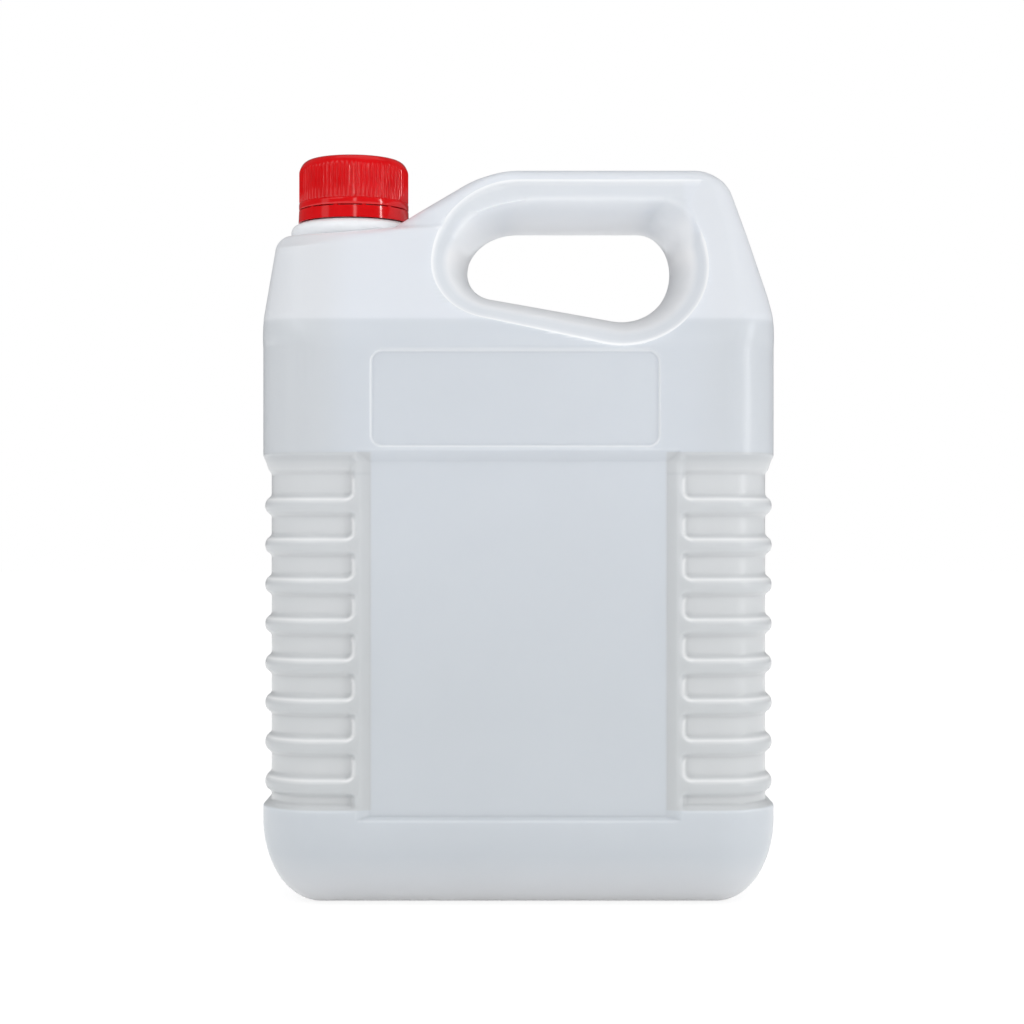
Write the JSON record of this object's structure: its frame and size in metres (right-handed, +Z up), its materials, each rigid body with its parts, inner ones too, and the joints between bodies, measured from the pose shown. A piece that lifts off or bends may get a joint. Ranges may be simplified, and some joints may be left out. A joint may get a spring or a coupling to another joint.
{
  "type": "isopropyl alcohol jug",
  "caption": "Upright translucent plastic jug for isopropyl alcohol, with wrap-round ribs, a hollow grip through a flared finger hole, and a red screw cap over a tamper band.",
  "frame": {"origin": "centre of the jug's outline on the surface it stands on", "axes": "+X along the width from the neck towards the grip's outer leg, +Y from front to back, +Z up"},
  "size_m": [0.19, 0.128, 0.2824],
  "materials": {
    "milky_hdpe": "natural blow-moulded high-density polyethylene, milky and half see-through, satin",
    "clear_liquid": "clear, colourless isopropyl alcohol with a level surface",
    "red_cap_plastic": "bright red moulded polypropylene, glossy, with fine upright knurls on the skirt",
    "liner_foam": "white foamed polyethylene sealing disc"
  },
  "bodies": {
    "jug": {"jug_body": "milky_hdpe", "liquid": "clear_liquid", "tamper_band": "red_cap_plastic"},
    "liner": {"cap_liner": "liner_foam"},
    "cap": {"cap": "red_cap_plastic"}
  },
  "joints": [
    {"name": "cap_lift", "type": "slide", "parent": "jug", "child": "liner", "axis": [0, 0, 1], "range_m": [0, 0.0063]},
    {"name": "cap_turn", "type": "hinge", "parent": "liner", "child": "cap", "pos_m": [-0.0647, 0, 0.2628], "axis": [0, 0, 1], "range_deg": [0, 540]}
  ],
  "couplings": [
    {"joint": "cap_turn", "follows": "cap_lift", "rad_per_m": 1496}
  ]
}
